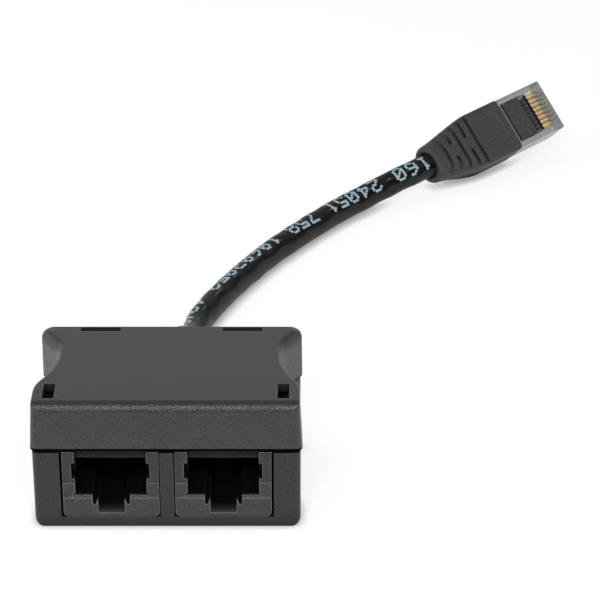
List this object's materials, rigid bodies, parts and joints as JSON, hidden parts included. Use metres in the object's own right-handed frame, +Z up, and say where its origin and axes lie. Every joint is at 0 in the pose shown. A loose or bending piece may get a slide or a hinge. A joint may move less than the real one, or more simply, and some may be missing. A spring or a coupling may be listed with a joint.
{
  "type": "network splitter adapter",
  "caption": "Two-way modular jack splitter in a dark clamshell housing with finger bays, and a short cable to a clear modular plug.",
  "frame": {"origin": "centre of the housing's footprint, on the surface that it rests on", "axes": "+Z up; the jacks face -Y; the cable leaves the back face along +Y; X runs across the two jacks"},
  "size_m": [0.1024, 0.1609, 0.0234],
  "materials": {
    "housing_plastic": "fine matte moulded texture, charcoal",
    "jack_plastic": "satin moulded plastic, charcoal",
    "insert_plastic": "plain black moulded plastic",
    "contact_gold": "gold flashed spring wire",
    "board_laminate": "green solder resist over glass laminate",
    "cable_jacket": "black jacket, slightly glossy and uneven",
    "boot_rubber": "matte dark grey moulded boot",
    "clear_plastic": "clear polycarbonate",
    "tie_nylon": "black nylon",
    "wire_insulation": "coloured insulation, two rows of four"
  },
  "bodies": {
    "root": {"base": "housing_plastic", "lid": "housing_plastic", "circuit_board": "board_laminate", "left_jack_body": "jack_plastic", "right_jack_body": "jack_plastic", "left_jack_insert": "insert_plastic", "right_jack_insert": "insert_plastic", "cable_tie": "tie_nylon", "cable": "cable_jacket", "boot": "boot_rubber", "plug_body": "clear_plastic", "strain_bar": "insert_plastic", "left_contact_1": "contact_gold", "right_contact_1": "contact_gold", "plug_contact_1": "contact_gold", "board_wire_1": "wire_insulation", "plug_wire_1": "wire_insulation", "left_contact_2": "contact_gold", "right_contact_2": "contact_gold", "plug_contact_2": "contact_gold", "board_wire_2": "wire_insulation", "plug_wire_2": "wire_insulation", "left_contact_3": "contact_gold", "right_contact_3": "contact_gold", "plug_contact_3": "contact_gold", "board_wire_3": "wire_insulation", "plug_wire_3": "wire_insulation", "left_contact_4": "contact_gold", "right_contact_4": "contact_gold", "plug_contact_4": "contact_gold", "board_wire_4": "wire_insulation", "plug_wire_4": "wire_insulation", "left_contact_5": "contact_gold", "right_contact_5": "contact_gold", "plug_contact_5": "contact_gold", "board_wire_5": "wire_insulation", "plug_wire_5": "wire_insulation", "left_contact_6": "contact_gold", "right_contact_6": "contact_gold", "plug_contact_6": "contact_gold", "board_wire_6": "wire_insulation", "plug_wire_6": "wire_insulation", "left_contact_7": "contact_gold", "right_contact_7": "contact_gold", "plug_contact_7": "contact_gold", "board_wire_7": "wire_insulation", "plug_wire_7": "wire_insulation", "left_contact_8": "contact_gold", "right_contact_8": "contact_gold", "plug_contact_8": "contact_gold", "board_wire_8": "wire_insulation", "plug_wire_8": "wire_insulation"}
  },
  "joints": []
}
